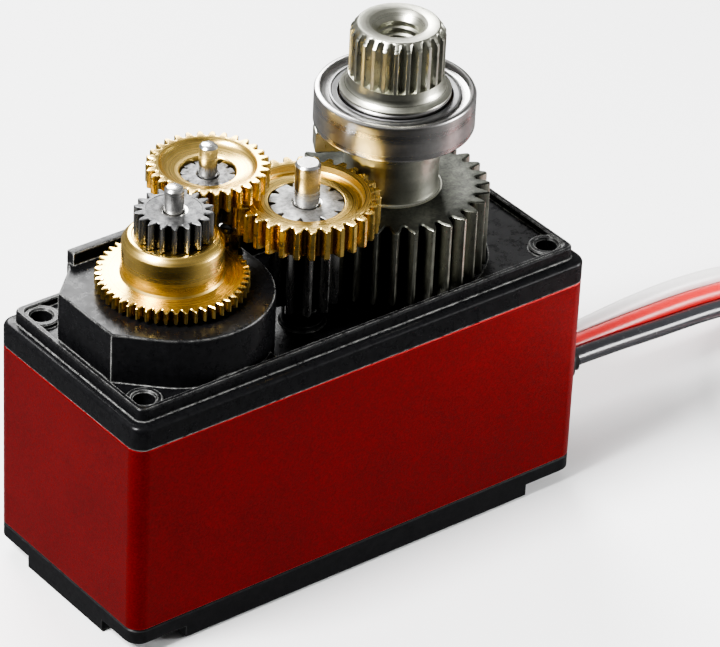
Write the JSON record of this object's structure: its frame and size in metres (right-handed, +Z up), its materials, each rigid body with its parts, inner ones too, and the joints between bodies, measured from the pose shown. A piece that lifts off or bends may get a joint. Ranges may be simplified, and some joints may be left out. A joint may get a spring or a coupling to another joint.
{
  "type": "servo motor",
  "caption": "Mini metal-gear servo with its gear cover off: metal case between plastic covers, gear train on pins, splined output shaft in a ball bearing, flat lead.",
  "frame": {"origin": "centre of the case's underside, the lead left out", "axes": "+X along the case towards the output shaft and the lead, +Z up along the output shaft"},
  "size_m": [0.0867, 0.0458, 0.0333],
  "materials": {
    "red_aluminium": "red anodised, fine satin grain",
    "black_plastic": "satin moulded plastic",
    "brass": "machined",
    "steel": "machined steel",
    "bright_steel": "polished steel",
    "dark_steel": "blackened steel",
    "bronze": "sintered bronze",
    "copper": "enamelled copper wire and contact metal",
    "board": "green circuit board",
    "rubber": "matte black rubber",
    "lead_insulation": "soft wire insulation: white, red and black",
    "gold_plate": "gold-plated contact",
    "magnet": "grey metal"
  },
  "bodies": {
    "case": {"center_case": "red_aluminium", "upper_case": "black_plastic", "bottom_cover": "black_plastic", "motor_end_cap": "black_plastic", "control_chip": "black_plastic", "motor_driver_chip": "black_plastic", "connector_housing": "black_plastic", "first_gear_pin": "bright_steel", "second_gear_pin": "bright_steel", "third_gear_pin": "bright_steel", "motor_can": "bright_steel", "bottom_screw_1": "dark_steel", "bottom_screw_2": "dark_steel", "bottom_screw_3": "dark_steel", "bottom_screw_4": "dark_steel", "output_bushing": "bronze", "motor_bearing": "bronze", "motor_brush_1": "copper", "motor_brush_2": "copper", "potentiometer_body": "board", "circuit_board": "board", "cable_grommet": "rubber", "servo_lead": "lead_insulation", "lead_coil": "lead_insulation", "lead_end": "lead_insulation", "motor_terminal_1": "gold_plate", "motor_terminal_2": "gold_plate", "potentiometer_pin_1": "gold_plate", "potentiometer_pin_2": "gold_plate", "potentiometer_pin_3": "gold_plate", "resonator": "gold_plate", "connector_contact_1": "gold_plate", "connector_contact_2": "gold_plate", "connector_contact_3": "gold_plate", "motor_magnet": "magnet", "capacitor": "magnet"},
    "output": {"output_gear": "steel", "bearing_inner_ring": "bright_steel", "potentiometer_shaft": "bright_steel", "potentiometer_wiper": "copper"},
    "bearing_outer": {"bearing_outer_ring": "bright_steel", "bearing_top_shield": "steel", "bearing_bottom_shield": "steel", "bearing_ball_cage": "bronze"},
    "third_gear": {"third_gear_wheel": "brass", "third_gear_pinion": "steel"},
    "second_gear": {"second_gear_wheel": "brass", "second_gear_pinion": "dark_steel"},
    "first_gear": {"first_gear_wheel": "brass", "first_gear_pinion": "steel"},
    "motor_rotor": {"motor_shaft": "bright_steel", "motor_winding": "copper", "motor_commutator": "gold_plate", "motor_pinion": "brass"}
  },
  "joints": [
    {"name": "output_spin", "type": "hinge", "parent": "case", "child": "output", "pos_m": [0.00695, 0, 0.0195], "axis": [0, 0, 1], "range_deg": [-90, 90]},
    {"name": "third_gear_spin", "type": "hinge", "parent": "case", "child": "third_gear", "pos_m": [-0.0006, -0.0013, 0.02], "axis": [0, 0, 1], "range_deg": [-300, 300]},
    {"name": "second_gear_spin", "type": "hinge", "parent": "case", "child": "second_gear", "pos_m": [-0.00492, 0.00301, 0.024], "axis": [0, 0, 1], "range_deg": [-740, 740]},
    {"name": "first_gear_spin", "type": "hinge", "parent": "case", "child": "first_gear", "pos_m": [-0.00976, -0.00021, 0.023], "axis": [0, 0, 1], "range_deg": [-1230, 1230]},
    {"name": "motor_spin", "type": "hinge", "parent": "case", "child": "motor_rotor", "pos_m": [-0.00469, 0.00129, 0.012], "axis": [0, 0, 1], "range_deg": [-7300, 7300]},
    {"name": "bearing_outer_spin", "type": "hinge", "parent": "output", "child": "bearing_outer", "pos_m": [0.00695, 0, 0.0276], "axis": [0, 0, 1], "continuous": true}
  ],
  "couplings": [
    {"joint": "third_gear_spin", "follows": "output_spin", "ratio": -3.2},
    {"joint": "second_gear_spin", "follows": "output_spin", "ratio": 8},
    {"joint": "first_gear_spin", "follows": "output_spin", "ratio": -13.333},
    {"joint": "motor_spin", "follows": "output_spin", "ratio": 80}
  ]
}
